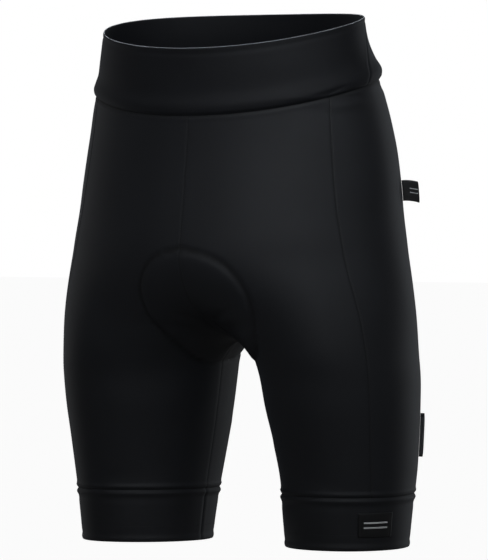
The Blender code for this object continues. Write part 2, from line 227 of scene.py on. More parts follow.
# Soft creases of the worn cloth: u, v at both ends, then width, height (a trough is below zero) and bow in mm
creases = {
    "left": [
        ((0.30, 1.015), (0.44, 1.055), 3.0, -0.9, 1.5),   # ruck under the waist seam, by the side panel
        ((0.33, 1.075), (0.46, 1.11), 4.5, 0.8, 1.0),
        ((0.26, 1.06), (0.36, 1.16), 5.0, -0.5, 2.0),
        ((0.52, 1.03), (0.70, 1.08), 5.0, -0.6, 2.5),
        ((0.60, 1.10), (0.80, 1.06), 6.0, 0.5, -2.0),
        ((0.02, 2.72), (0.12, 2.48), 4.0, -1.0, 3.0),     # from the crotch up into the groin
        ((0.04, 2.95), (0.20, 2.70), 7.0, -0.7, 4.0),
        ((0.10, 3.08), (0.24, 2.96), 8.0, 0.6, 3.0),
        ((0.98, 2.95), (0.74, 3.02), 6.0, -1.3, -4.0),    # under the seat
        ((0.96, 3.12), (0.72, 3.14), 7.0, -0.8, -3.0),
        ((0.94, 3.04), (0.80, 3.08), 5.0, 0.7, -3.0),
        ((0.90, 2.30), (0.74, 2.42), 11.0, -0.7, 4.0),
        ((0.97, 1.62), (0.86, 1.74), 9.0, -0.6, 2.0),
        ((0.88, 3.74), (0.66, 3.70), 6.0, -0.8, 2.0),     # behind the knee
        ((0.84, 3.86), (0.68, 3.84), 5.0, -0.6, -2.0),
        ((0.93, 3.62), (0.78, 3.58), 7.0, 0.5, 2.0),
        ((0.04, 3.45), (0.09, 3.72), 8.0, -0.6, 2.0),     # inner thigh
        ((0.16, 3.88), (0.34, 3.93), 6.0, -0.35, 1.0),
        ((0.42, 3.92), (0.58, 3.89), 5.0, -0.4, 1.0),
    ],
    "right": [
        ((0.38, 1.02), (0.50, 1.06), 4.0, -0.7, 1.5),
        ((0.50, 1.06), (0.66, 1.03), 5.0, -0.6, 2.0),
        ((0.64, 1.09), (0.84, 1.07), 6.0, 0.5, -2.0),
        ((0.01, 2.70), (0.07, 2.54), 4.0, -0.7, 2.0),
        ((0.05, 2.96), (0.17, 2.74), 7.0, -0.8, 4.0),
        ((0.11, 3.12), (0.22, 3.00), 8.0, 0.5, 3.0),
        ((0.98, 2.93), (0.76, 3.00), 6.0, -1.2, -5.0),
        ((0.97, 3.09), (0.70, 3.16), 7.0, -0.9, -3.0),
        ((0.95, 3.02), (0.82, 3.05), 5.0, 0.6, -3.0),
        ((0.88, 2.26), (0.76, 2.40), 12.0, -0.6, 5.0),
        ((0.96, 1.66), (0.88, 1.80), 9.0, -0.5, 2.0),
        ((0.86, 3.72), (0.68, 3.69), 6.0, -0.7, 2.0),
        ((0.88, 3.83), (0.70, 3.86), 5.0, -0.7, -2.0),
        ((0.92, 3.60), (0.80, 3.56), 7.0, 0.5, 2.0),
        ((0.05, 3.40), (0.10, 3.66), 8.0, -0.5, 2.0),
        ((0.18, 3.90), (0.32, 3.94), 6.0, -0.35, 1.0),
    ],
}


def creaseLine(start, end, bow):
    t = np.linspace(0, 1, 13)
    u = start[0] + (end[0] - start[0]) * t
    v = start[1] + (end[1] - start[1]) * t
    points, normals = skin(u, v)
    across = unit(np.cross(normals, unit(np.gradient(points, axis=0))))
    return points + across * (bow * mm * np.sin(math.pi * t))[:, None]


creaseLines = {side: [(creaseLine(a, b, bow), width * mm, height * mm) for a, b, width, height, bow in rows]
               for side, rows in creases.items()}

# Seat pad: how far along the rise from the crotch, and half width there, in mm
padShape = {
    "outline": ((-152, 0), (-146, 22), (-132, 44), (-110, 58), (-86, 63), (-62, 62), (-38, 54), (-10, 45),
                (20, 43), (56, 56), (92, 68), (126, 64), (150, 46), (163, 26), (168, 0)),
    "sewnLeft": ((-160, 0), (-157, 20), (-148, 42), (-140, 51), (-132, 58), (-116, 65), (-100, 68), (-76, 70),
                 (-60, 73), (-44, 80), (-25, 86), (0, 89), (30, 89), (60, 86), (92, 80), (126, 66), (150, 46),
                 (163, 26), (168, 0)),
    "sewnRight": ((-160, 0), (-156, 22), (-148, 36), (-132, 47), (-116, 50), (-84, 50), (-60, 48), (-44, 49),
                  (-36, 52), (-28, 58), (-20, 65), (-10, 75), (5, 83), (30, 86), (60, 84), (92, 79), (126, 66),
                  (150, 46), (163, 26), (168, 0)),
    "grooveWidth": 1.7 * mm,
    "grooveDepth": 1.7 * mm,
    "puff": 1.1 * mm,
    "puffWidth": 8 * mm,
    "pinch": ((-76, 8), (-46, 17), 2.0 * mm, -1.5 * mm),
    "clear": 1.4 * mm,
    "archClear": 1.3 * mm,
    "archSpan": 34 * mm,
    "edge": 2.0 * mm,
    "thick": 8.0 * mm,
}


def riseCurve():
    v = np.linspace(1.5, 3, 80)
    front = skin(np.zeros_like(v), v)[0]
    back = skin(np.ones_like(v), v)[0]
    line = np.concatenate((front, back[-2::-1]))
    length = np.concatenate(([0], np.cumsum(np.linalg.norm(np.diff(line, axis=0), axis=1))))
    return line, length - length[len(front) - 1]


riseLine, riseLength = riseCurve()
padAlong = np.array([row[0] for row in padShape["outline"]]) * mm
padHalf = np.array([row[1] for row in padShape["outline"]]) * mm


def padPoints(along, x):  # points of the skin over the pad
    middle = np.stack([np.interp(along, riseLength, riseLine[:, axis]) for axis in range(3)], axis=-1)
    guess = np.broadcast_to(middle, np.shape(x) + (3,)).copy()
    guess[..., 0] = x
    return ontoSkin(guess)


def padBorder(side):  # where the pad is sewn on, as it shows outside
    rows = np.array(padShape["sewn" + side.capitalize()], dtype=float) * mm
    turn = np.linspace(0, math.pi, 90)
    along = (rows[0, 0] + rows[-1, 0]) / 2 - (rows[-1, 0] - rows[0, 0]) / 2 * np.cos(turn)
    half = np.interp(along, rows[:, 0], rows[:, 1])
    for _ in range(4):
        half[1:-1] = (half[:-2] + 2 * half[1:-1] + half[2:]) / 4
    return padPoints(along, half)


padBorders = {side: padBorder(side) for side in ("left", "right")}
pinchFrom, pinchTo, pinchWidth, pinchHeight = padShape["pinch"]
pinchStep = np.linspace(0, 1, 9)
pinchLine, _ = padPoints((pinchFrom[0] + (pinchTo[0] - pinchFrom[0]) * pinchStep) * mm,
                         (pinchFrom[1] + (pinchTo[1] - pinchFrom[1]) * pinchStep) * mm)
creaseLines["left"].append((pinchLine, pinchWidth, pinchHeight))
print("skin, creases and pad border laid out")


# Which sign of the border's side is inside the pad: the crotch's own point is
crotchPoint, crotchNormal = skin(np.array([0.002]), np.array([2.9]))
padSide = {side: float(toLine(crotchPoint, crotchNormal, padBorders[side][0])[2][0]) for side in padBorders}

# Fuller places of the worn cloth: height, its spread, how far round (u), its spread, and how much, in mm
fullness = {
    "left": ((-75, 26, 0.60, 0.10, 1.6), (-235, 60, 0.86, 0.10, 1.2)),
    "right": ((-235, 85, 0.42, 0.16, 2.3), (-235, 60, 0.86, 0.10, 1.2), (-80, 18, 0.46, 0.08, 1.2)),
}


def tapered(place):  # a crease dies away to its ends
    return np.sin(math.pi * np.clip(place, 0.02, 0.98)) ** 0.7


def padPlace(side, points):  # the sewn half width beside each place
    flat = points.reshape(-1, 3)
    near = np.concatenate([np.argmin((part[:, 1, None] - riseLine[None, :, 1]) ** 2
                                     + (part[:, 2, None] - riseLine[None, :, 2]) ** 2, axis=1)
                           for part in np.array_split(flat, 40) if len(part)])
    along = riseLength[near].reshape(points.shape[:-1])
    rows = np.array(padShape["sewn" + side.capitalize()], dtype=float) * mm
    return np.interp(along, rows[:, 0], rows[:, 1])


def softRelief(side, points, normals):  # creases and pad that show through, in metres
    relief = np.zeros(points.shape[:-1])
    for line, width, height in creaseLines[side]:
        near = np.linalg.norm(points - line[len(line) // 2], axis=-1) < 0.12
        if not near.any():
            continue
        distance, place, _ = toLine(points[near], normals[near], line)
        relief[near] += height * bump(distance, width) * tapered(place)
    reach = (points[..., 2] < -0.19) & (points[..., 2] > -0.42)
    if reach.any():
        distance, place, inside = toLine(points[reach], normals[reach], padBorders[side][0])
        half = padPlace(side, points[reach])
        over = (np.abs(points[reach][..., 0]) < half + 6 * mm) & (half > 0) & (points[reach][..., 2] > -0.37)
        inward = np.clip(distance * inside * padSide[side] * over / padShape["puffWidth"], 0, 1)
        relief[reach] += padShape["puff"] * (inward * inward * (3 - 2 * inward))
        relief[reach] -= padShape["grooveDepth"] * bump(distance, padShape["grooveWidth"])
    middleY = torso("middleY", points[..., 2])
    round_ = np.arctan2(points[..., 0], -(points[..., 1] - middleY)) / math.pi
    for height, spread, at, wide, much in fullness[side]:
        relief += much * mm * bump(points[..., 2] - height * mm, spread * mm) * bump(round_ - at, wide)
    return relief


def seamProfile(distance, dip=0.6 * mm, width=1.2 * mm, swell=0.3 * mm):
    return swell * bump(distance - 3.6 * mm, 2.2 * mm) - dip * bump(distance, width)


def arcLength(points, axis):
    steps = np.linalg.norm(np.diff(points, axis=axis), axis=-1)
    zero = np.zeros_like(np.take(steps, [0], axis=axis))
    return np.concatenate((zero, np.cumsum(steps, axis=axis)), axis=axis)


# A closed wall between two grids of points, with the cloth's own metres as its UV map
def wallPiece(name, outer, inner, across, down, paint, shade=None):
    rows, columns = outer.shape[:2]
    count = rows * columns
    index = np.arange(count).reshape(rows, columns)
    a, b, c, d = index[:-1, :-1], index[1:, :-1], index[1:, 1:], index[:-1, 1:]
    faces = [np.stack((a, b, c, d), axis=-1).reshape(-1, 4)]
    faces.append(np.stack((a, d, c, b), axis=-1).reshape(-1, 4) + count)
    ring = np.concatenate((index[0], index[1:, -1], index[-1, -2::-1], index[-2:0:-1, 0]))
    after = np.roll(ring, -1)
    faces.append(np.stack((ring, after, after + count, ring + count), axis=-1))
    faces = np.concatenate(faces)
    vertices = np.concatenate((outer.reshape(-1, 3), inner.reshape(-1, 3)))
    mesh = bpy.data.meshes.new(name)
    mesh.from_pydata(vertices.tolist(), [], faces.tolist())
    layer = mesh.uv_layers.new(name="clothMetres")
    uv = np.concatenate((np.stack((across, down), axis=-1).reshape(-1, 2),) * 2)
    layer.data.foreach_set("uv", uv[faces.reshape(-1)].reshape(-1).astype(np.float32))
    # painted shade: a factor per point that darkens the outer colour in the seam valleys
    tone = mesh.attributes.new("seamPaintedShade", "FLOAT", "POINT")
    shade = np.ones(count) if shade is None else np.broadcast_to(shade, (rows, columns)).reshape(-1)
    tone.data.foreach_set("value", np.concatenate((shade, np.ones(count))).astype(np.float32))
    mesh.materials.append(paint)
    mesh.shade_smooth()
    mesh.set_sharp_from_angle(angle=math.radians(62))
    piece = bpy.data.objects.new(name, mesh)
    bpy.context.scene.collection.objects.link(piece)
    return piece


def flipped(piece):  # the mirror copy is inside out until its faces are turned
    piece.data.flip_normals()
    return piece


# Materials
def addNode(tree, kind, **inputs):
    node = tree.nodes.new(kind)
    for key, value in inputs.items():
        name = key.replace("_", " ")
        if hasattr(node, key):
            setattr(node, key, value)
        elif isinstance(value, bpy.types.NodeSocket):
            tree.links.new(value, node.inputs[name])
        else:
            node.inputs[name].default_value = value
    return node


def knitPaint(name, look):
    paint = bpy.data.materials.new(name)
    paint.use_nodes = True
    tree = paint.node_tree
    shader = tree.nodes["Principled BSDF"]
    shader.inputs["Roughness"].default_value = look["roughness"]
    shader.inputs["Sheen Weight"].default_value = look["sheen"]
    shader.inputs["Sheen Roughness"].default_value = look["sheenRoughness"]
    shader.inputs["Sheen Tint"].default_value = (*look["sheenTint"], 1)
    shader.inputs["Specular IOR Level"].default_value = look["specular"]
    uvMap = tree.nodes.new("ShaderNodeUVMap")
    uvMap.uv_map = "clothMetres"
    wale = addNode(tree, "ShaderNodeTexWave", bands_direction="X", Vector=uvMap.outputs["UV"],
                   Scale=0.314 / look["wale"], Distortion=0.15)
    course = addNode(tree, "ShaderNodeTexWave", bands_direction="Y", Vector=uvMap.outputs["UV"],
                     Scale=0.314 / look["course"], Distortion=0.25)
    fuzz = addNode(tree, "ShaderNodeTexNoise", Vector=uvMap.outputs["UV"], Scale=look["fuzzScale"], Detail=3.0)
    loops = tree.nodes.new("ShaderNodeMath")
    loops.operation = "MULTIPLY"
    tree.links.new(wale.outputs["Color"], loops.inputs[0])
    tree.links.new(course.outputs["Color"], loops.inputs[1])
    height = tree.nodes.new("ShaderNodeMath")
    height.operation = "MULTIPLY_ADD"
    tree.links.new(fuzz.outputs["Fac"], height.inputs[0])
    height.inputs[1].default_value = 0.5
    tree.links.new(loops.outputs[0], height.inputs[2])
    relief = addNode(tree, "ShaderNodeBump", Strength=look["bump"], Distance=look["bumpDepth"],
                     Height=height.outputs[0])
    place = tree.nodes.new("ShaderNodeTexCoord")
    cloud = addNode(tree, "ShaderNodeTexNoise", Vector=place.outputs["Object"], Scale=look["cloudScale"],
                    Detail=2.0, Roughness=0.45)
    tone = tree.nodes.new("ShaderNodeValToRGB")
    tone.color_ramp.elements[0].position = 0.36
    tone.color_ramp.elements[0].color = (*look["dark"], 1)
    tone.color_ramp.elements[1].position = 0.64
    tone.color_ramp.elements[1].color = (*look["light"], 1)
    tree.links.new(cloud.outputs["Fac"], tone.inputs["Fac"])
    # painted shade: the colour is darkened in the valleys of the knit loops, where the bump sinks
    valley = tree.nodes.new("ShaderNodeMix")
    valley.data_type = "RGBA"
    valley.blend_type = "MULTIPLY"
    valley.inputs["Factor"].default_value = look["valley"]
    tree.links.new(tone.outputs["Color"], valley.inputs[6])
    tree.links.new(loops.outputs[0], valley.inputs[7])
    seam = tree.nodes.new("ShaderNodeAttribute")  # painted shade: the colour is darkened in the seam valleys
    seam.attribute_name = "seamPaintedShade"
    paintedShadeMix = tree.nodes.new("ShaderNodeMix")
    paintedShadeMix.data_type = "RGBA"
    paintedShadeMix.blend_type = "MULTIPLY"
    paintedShadeMix.inputs["Factor"].default_value = 1.0
    tree.links.new(valley.outputs[2], paintedShadeMix.inputs[6])
    tree.links.new(seam.outputs["Fac"], paintedShadeMix.inputs[7])
    tree.links.new(paintedShadeMix.outputs[2], shader.inputs["Base Color"])
    tree.links.new(relief.outputs["Normal"], shader.inputs["Normal"])
    return paint


knitLook = {
    "dark": (0.0060, 0.0066, 0.0088),
    "light": (0.0074, 0.0081, 0.0106),
    "roughness": 0.62,
    "specular": 0.30,
    "sheen": 0.035,
    "sheenRoughness": 0.45,
    "sheenTint": (0.80, 0.86, 1.0),
    "wale": 0.62 * mm,
    "course": 0.78 * mm,
    "fuzzScale": 2600.0,
    "bump": 0.30,
    "bumpDepth": 0.10 * mm,
    "cloudScale": 22.0,
    # valley: how much painted shade darkens the colour in the knit's valleys
    "valley": 0.35,
}
panelKnit = knitPaint("panelKnit", knitLook)
bandKnit = knitPaint("bandKnit", {**knitLook, "dark": (0.0040, 0.0044, 0.0062),
                                  "light": (0.0050, 0.0055, 0.0076), "specular": 0.24,
                                  "wale": 0.70 * mm, "course": 0.70 * mm, "roughness": 0.66})
cuffKnit = knitPaint("cuffKnit", {**knitLook, "dark": (0.0062, 0.0066, 0.0086), "light": (0.0074, 0.0079, 0.0102),
                                  "wale": 1.05 * mm, "course": 0.85 * mm, "roughness": 0.64})
padFleece = knitPaint("padFleece", {**knitLook, "dark": (0.022, 0.023, 0.027), "light": (0.030, 0.031, 0.037),
                                    "roughness": 0.92, "specular": 0.15, "sheen": 0.25, "bump": 0.55,
                                    "wale": 1.9 * mm, "course": 1.9 * mm, "fuzzScale": 1500.0})
labelWeave = knitPaint("labelWeave", {**knitLook, "dark": (0.0050, 0.0050, 0.0056), "light": (0.0062, 0.0062, 0.0068),
                                      "roughness": 0.50, "wale": 0.35 * mm, "course": 0.5 * mm, "sheen": 0.02})
greyTape = knitPaint("greyTape", {**knitLook, "dark": (0.042, 0.044, 0.048), "light": (0.055, 0.058, 0.063),
                                  "roughness": 0.38, "specular": 0.5, "wale": 0.40 * mm, "course": 0.40 * mm})


def threadPaint(name, colour, roughness):  # twisted thread, its tone varying at random
    paint = bpy.data.materials.new(name)
    paint.use_nodes = True
    tree = paint.node_tree
    shader = tree.nodes["Principled BSDF"]
    shader.inputs["Roughness"].default_value = roughness
    shader.inputs["Specular IOR Level"].default_value = 0.4
    place = tree.nodes.new("ShaderNodeTexCoord")
    twist = addNode(tree, "ShaderNodeTexNoise", Vector=place.outputs["Object"], Scale=2400.0, Detail=1.0)
    tone = tree.nodes.new("ShaderNodeValToRGB")
    tone.color_ramp.elements[0].position = 0.3
    tone.color_ramp.elements[0].color = (*[0.7 * c for c in colour], 1)
    tone.color_ramp.elements[1].position = 0.7
    tone.color_ramp.elements[1].color = (*colour, 1)
    tree.links.new(twist.outputs["Fac"], tone.inputs["Fac"])
    tree.links.new(tone.outputs["Color"], shader.inputs["Base Color"])
    relief = addNode(tree, "ShaderNodeBump", Strength=0.4, Distance=0.1 * mm, Height=twist.outputs["Fac"])
    tree.links.new(relief.outputs["Normal"], shader.inputs["Normal"])
    return paint


blackThread = threadPaint("blackThread", (0.0030, 0.0032, 0.0040), 0.75)
# partly painted highlight: this pale grey thread also stands in for the bright hairline of light along the rim's top
# edge
greyThreadAndHighlight = threadPaint("greyThreadAndHighlight", (0.60, 0.62, 0.66), 0.50)
paleThread = threadPaint("paleThread", (0.62, 0.62, 0.62), 0.55)
print("materials made")


# Panels, each between its seams. The right ones are made from the same points with their own creases
panelCuts = {
    "front": {"columns": 94, "names": ("rise", "frontSeam"),
              "first": lambda v: np.zeros_like(v), "last": lambda v: seamU("frontSeam", v)},
    "side": {"columns": 60, "names": ("frontSeam", "rearSeam"),
             "first": lambda v: seamU("frontSeam", v), "last": lambda v: seamU("rearSeam", v)},
    "back": {"columns": 104, "names": ("rearSeam", "rise"),
             "first": lambda v: seamU("rearSeam", v), "last": lambda v: np.ones_like(v)},
    "seams": {"rise": (0.16 * mm, 0.9 * mm, 0.06 * mm), "frontSeam": (0.30 * mm, 0.8 * mm, 0.08 * mm),
              "rearSeam": (0.34 * mm, 0.9 * mm, 0.12 * mm)},
    "rows": 228,
    "rowShare": (0, 0.36, 0.60, 0.68, 1),
    "rowKnots": (1, 2, 3, 3.24, 4),
    "wall": 1.5 * mm,
    "gap": 0.02 * mm,
    "seamRise": 0.9 * mm,
}


# How much painted shade darkens the cloth's colour in a seam's valley, and over what width
seamPaintedShades = {"pad": (0.85, 1.5 * mm), "sides": (0.5, 0.8 * mm), "waist": (0.8, 1.6 * mm), "cuff": (0.7, 1.0 * mm)}
darkestPaintedShade = 0.08


def makePanels():
    made = {}
    v = np.interp(easedSteps(panelCuts["rows"]), panelCuts["rowShare"], panelCuts["rowKnots"])
    for cut in ("front", "side", "back"):
        plan = panelCuts[cut]
        first, last = plan["first"](v), plan["last"](v)
        u = first[:, None] + (last - first)[:, None] * easedSteps(plan["columns"], 0.7)
        points, normals = skin(u, np.broadcast_to(v[:, None], u.shape))
        across, down = arcLength(points, 1), arcLength(points, 0)
        fromTop, fromCuff = down, down[-1:] - down
        seams = sum(seamProfile(distance, *panelCuts["seams"][name]) for name, distance in
                    ((plan["names"][0], across), (plan["names"][1], across[:, -1:] - across)))
        seams = seams + seamProfile(fromTop, 0.5 * mm, 1.6 * mm, 0.2 * mm)
        seams = seams + panelCuts["seamRise"] * bump(fromCuff - 3.0 * mm, 2.4 * mm) - 0.5 * mm * bump(fromCuff, 1.2 * mm)
        for side in ("left", "right"):
            soft = softRelief(side, points, normals)
            outer = points + normals * (seams + soft)[..., None]
            inner = points + normals * (np.clip(soft, -0.3 * mm, 2.5 * mm) - panelCuts["wall"])[..., None]
            mirror = np.array((1 if side == "left" else -1, 1, 1))
            toPad = toLine(points, normals, padBorders[side][0])[0]
            # painted shade: the colour is darkened along the pad border, the side seams, the waist seam and the cuff
            # seam
            gaps = {"pad": toPad, "sides": np.minimum(across, across[:, -1:] - across),
                    "waist": fromTop, "cuff": fromCuff}
            shade = 1 - sum(much * bump(gaps[seam], wide) for seam, (much, wide) in seamPaintedShades.items())
            shade = np.clip(shade, darkestPaintedShade, 1)
            piece = wallPiece(cut + side.capitalize() + "Panel", outer * mirror, inner * mirror,
                              across, down, panelKnit, shade)
            if side == "right":
                flipped(piece)
            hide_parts(cut + "_" + side)
            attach(piece, "root")
            made[cut + "_" + side] = piece
    return made


panels = makePanels()
print("panels made")

# Waistband, a doubled band with a rolled rim and a soft roll over its seam
bandShape = {
    "rows": 40,
    "frontColumns": 110,
    "backColumns": 84,
    "proud": 0.6 * mm,
    "roll": 2.7 * mm,
    "wall": 2.4 * mm,
    "rimRound": 1.3 * mm,
}


def bandSide(v):
    return 0.60 - 0.13 * v


# Shallow rucks of the waistband, as for the creases
bandRucks = {
    "left": (((0.24, 0.80), (0.36, 0.86), 2.5, -0.8, 1.0), ((0.28, 0.94), (0.40, 0.91), 2.2, -0.9, 0.8),
             ((0.20, 0.90), (0.31, 0.97), 2.6, 0.5, 0.8), ((0.30, 0.98), (0.37, 0.93), 1.8, -0.8, 0.5),
             ((0.34, 0.50), (0.42, 0.72), 9.0, -0.7, 2.0), ((0.62, 0.84), (0.76, 0.90), 3.0, -0.5, 1.0)),
    "right": (((0.30, 0.82), (0.44, 0.88), 3.0, -0.5, 1.0), ((0.80, 0.90), (0.95, 0.86), 3.5, -0.5, -1.0),
              ((0.40, 0.60), (0.46, 0.80), 7.0, -0.4, 2.0)),
}
# Fuller places of the band: u, spread, v, spread and how much, in mm
bandFullness = {
    "left": ((0.62, 0.13, 0.80, 0.30, 3.2), (0.16, 0.14, 0.35, 0.3, 0.8)),
    "right": ((0.44, 0.10, 0.97, 0.10, 1.4), (0.30, 0.2, 0.5, 0.4, 0.8), (0.66, 0.12, 0.5, 0.3, 1.2)),
}


def bandLift(side, points, normals, u, v, down, fromBottom, fromSeam):
    lift = bandShape["proud"] + bandShape["roll"] * bump(v - 0.87, 0.12)
    lift = lift - 1.6 * mm * bump(fromBottom, 1.5 * mm) - 0.4 * mm * bump(down - 5.5 * mm, 2.0 * mm)
    lift = lift + seamProfile(fromSeam, 0.5 * mm, 1.0 * mm, 0.15 * mm)
    for start, end, width, height, bow in bandRucks[side]:
        distance, place, _ = toLine(points, normals, creaseLine(start, end, bow))
        lift = lift + height * mm * bump(distance, width * mm) * tapered(place)
    full = sum(much * mm * bump(u - at, wide) * bump(v - level, tall)
               for at, wide, level, tall, much in bandFullness[side])
    return lift, full * np.clip(down / (9 * mm), 0, 1)


def makeWaistband():
    made = {}
    for half, columns in (("front", bandShape["frontColumns"]), ("back", bandShape["backColumns"])):
        v = easedSteps(bandShape["rows"], 0.8)
        first = np.zeros_like(v) if half == "front" else bandSide(v)
        last = bandSide(v) if half == "front" else np.ones_like(v)
        u = first[:, None] + (last - first)[:, None] * easedSteps(columns, 0.0)
        v = np.broadcast_to(v[:, None], u.shape)
        points, normals = skin(u, v)
        across, down = arcLength(points, 1), arcLength(points, 0)
        fromSeam = across[:, -1:] - across if half == "front" else across
        fall = 1 - np.sqrt(1 - (1 - np.clip(down / bandShape["rimRound"], 0, 1)) ** 2)
        outers, inners = {}, {}
        for side in ("left", "right"):
            lift, full = bandLift(side, points, normals, u, v, down, down[-1:] - down, fromSeam)
            mirror = np.array((1 if side == "left" else -1, 1, 1))
            outers[side] = (points + normals * (lift + full - bandShape["wall"] / 2 * fall)[..., None]) * mirror
            base = bandShape["proud"] - bandShape["wall"] + full + bandShape["wall"] / 2 * fall
            inners[side] = (points + normals * base[..., None]) * mirror
        if half == "front":
            outer = np.concatenate((outers["right"][:, :0:-1], outers["left"]), axis=1)
            inner = np.concatenate((inners["right"][:, :0:-1], inners["left"]), axis=1)
            across = np.concatenate((-across[:, :0:-1], across), axis=1)
            down = np.concatenate((down[:, :0:-1], down), axis=1)
        else:
            outer = np.concatenate((outers["left"], outers["right"][:, -2::-1]), axis=1)
            inner = np.concatenate((inners["left"], inners["right"][:, -2::-1]), axis=1)
            across = np.concatenate((across, 2 * across[:, -1:] - across[:, -2::-1]), axis=1)
            down = np.concatenate((down, down[:, -2::-1]), axis=1)
        piece = wallPiece("waistband" + half.capitalize() + "Cloth", outer, inner, across, down, bandKnit)
        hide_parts("waistband_" + half)
        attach(piece, "root")
        made[half] = piece
    return made


waistband = makeWaistband()
print("waistband made")

# Cuffs, doubled bands round each leg with a rolled hem
cuffShape = {
    "rows": 34,
    "columns": 190,
    "proud": 0.4 * mm,
    "wall": 2.0 * mm,
    "seamRise": 1.1 * mm,
    "hemRoll": 0.5 * mm,
    "hemRound": 1.2 * mm,
}


def makeCuffs():
    made = {}
    v = 4 + easedSteps(cuffShape["rows"], 0.8)
    u = easedSteps(cuffShape["columns"], 0.0)
    points, normals = skin(u[None, :], v[:, None])
    across, down = arcLength(points, 1), arcLength(points, 0)
    fromHem = down[-1:] - down
    fromInseam = np.minimum(across, across[:, -1:] - across)
    lift = cuffShape["proud"] + cuffShape["seamRise"] * bump(down - 3.4 * mm, 2.2 * mm)
    lift = lift - 0.9 * mm * bump(down, 1.2 * mm)
    lift = lift - 0.35 * mm * bump(down - 9 * mm, 2.6 * mm)
    lift = lift + cuffShape["hemRoll"] * bump(fromHem - 3.2 * mm, 2.2 * mm)
    lift = lift - 0.25 * mm * bump(fromHem - 7.5 * mm, 1.8 * mm)
    lift = lift + seamProfile(fromInseam, 0.5 * mm, 1.0 * mm, 0.2 * mm)
    wave = 0.25 * mm * np.sin(2 * math.pi * (2 * u + 0.13))[None, :] * np.sin(math.pi * (v - 4))[:, None]
    fall = 1 - np.sqrt(1 - (1 - np.clip(fromHem / cuffShape["hemRound"], 0, 1)) ** 2)
    for side in ("left", "right"):
        sign = 1 if side == "left" else -1
        outer = points + normals * (lift + wave * sign - cuffShape["wall"] / 2 * fall)[..., None]
        inner = points + normals * (cuffShape["proud"] - cuffShape["wall"] + cuffShape["wall"] / 2 * fall)[..., None]
        mirror = np.array((sign, 1, 1))
        piece = wallPiece("cuff" + side.capitalize() + "Cloth", outer * mirror, inner * mirror,
                          across, down, cuffKnit)
        if side == "right":
            flipped(piece)
        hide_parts("cuff_" + side)
        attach(piece, "root")
        made[side] = piece
    return made


cuffs = makeCuffs()
print("cuffs made")


# Seat pad: fleece over foam, with pressed channels
padLook = {
    "rows": 150,
    "columns": 84,
    "channelDepth": 2.4 * mm,
    "channelWidth": 2.6 * mm,
    "middleGap": 7 * mm,
}


def makePad():
    turn = np.linspace(0, math.pi, padLook["rows"] + 1)
    place = (padAlong[0] + padAlong[-1]) / 2 - (padAlong[-1] - padAlong[0]) / 2 * 0.985 * np.cos(turn)
    half = np.maximum(np.interp(place, padAlong, padHalf), 4 * mm)
    acrossTurn = np.linspace(-math.pi / 2, math.pi / 2, padLook["columns"] + 1) * 0.98
    across = np.sin(acrossTurn) / math.sin(math.pi / 2 * 0.98)
    x = half[:, None] * across[None, :]
    points, normals = padPoints(place[:, None], x)
    edge = np.minimum(1 - np.abs(across)[None, :] ** 2.5, 1 - np.abs(np.cos(turn))[:, None] ** 6)
    thick = padShape["edge"] + (padShape["thick"] - padShape["edge"]) * np.sqrt(np.clip(edge, 0, 1))
    clear = padShape["clear"] + padShape["archClear"] * bump(place, padShape["archSpan"])
    channel = bump(np.abs(x) - padLook["middleGap"], padLook["channelWidth"]) * bump(place[:, None] - 5 * mm, 90 * mm)
    openEnds = np.clip(1.2 - np.abs(np.cos(turn))[:, None] ** 4, 0, 1)
    channel = channel + bump(np.abs(x) / half[:, None] - 0.68, 0.045) * openEnds
    crossing = bump(place[:, None] - 78 * mm - 0.25 * np.abs(x), padLook["channelWidth"])
    channel = channel + crossing * (np.abs(x) < half[:, None] * 0.68)
    outer = points - normals * (panelCuts["wall"] + clear[:, None, None])
    sunk = padLook["channelDepth"] * np.clip(channel, 0, 1) * np.clip(edge, 0, 1) ** 0.3
    inner = outer - normals * (thick - sunk)[..., None]
    piece = wallPiece("seatPad", outer, inner, arcLength(points, 1), arcLength(points, 0), padFleece)
    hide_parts("pad")
    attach(piece, "root")
    return piece


seatPad = makePad()
print("seat pad made")


# Tabs sewn into the left rear seam, and the patch on the left cuff
tabShape = {
    "hip": {"span": (1.622, 1.748), "reach": 16 * mm, "wall": 1.4 * mm, "rows": 26, "columns": 20},
    "leg": {"span": (3.482, 3.765), "reach": 4.5 * mm, "wall": 1.2 * mm, "rows": 48, "columns": 8},
}


def makeTab(name, plan, node, paint, lean, curl):
    v = np.linspace(*plan["span"], plan["rows"] + 1)
    points, normals = skin(seamU("rearSeam", v), v)
    down = unit(np.gradient(points, axis=0))
    along = unit(np.cross(down, normals))
    steps = np.sin(np.linspace(0, math.pi / 2, plan["columns"] + 1))
    out = 0.3 * mm + (plan["reach"] - 0.3 * mm) * steps
    length = arcLength(points, 0)
    t = np.linspace(-1, 1, plan["rows"] + 1)
    sheet = points[:, None, :] + normals[:, None, :] * out[None, :, None]
    bend = curl * steps[None, :] ** 2 * (1 + 0.3 * t[:, None])
    sheet = sheet + along[:, None, :] * bend[..., None]
    sheet = sheet + down[:, None, :] * (lean * steps[None, :] ** 2)[..., None]
    sheet = sheet - normals[:, None, :] * (0.5 * mm * np.abs(t[:, None]) ** 6 * steps[None, :])[..., None]
    fold = np.sqrt(np.clip(1 - np.clip((steps - 0.86) / 0.14, 0, 1) ** 2, 0.04, 1))[None, :]
    rim = np.sqrt(np.clip(1 - np.clip((np.abs(t) - 0.9) / 0.1, 0, 1) ** 2, 0.10, 1))[:, None]
    half = plan["wall"] / 2 * fold * rim
    outer = sheet + along[:, None, :] * half[..., None]
    inner = sheet - along[:, None, :] * half[..., None]
    across = np.broadcast_to(out[None, :], half.shape)
    piece = wallPiece(name, outer, inner, across, np.broadcast_to(length[:, None], half.shape), paint)
    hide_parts(node)
    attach(piece, "root")
    return piece, sheet, along, half


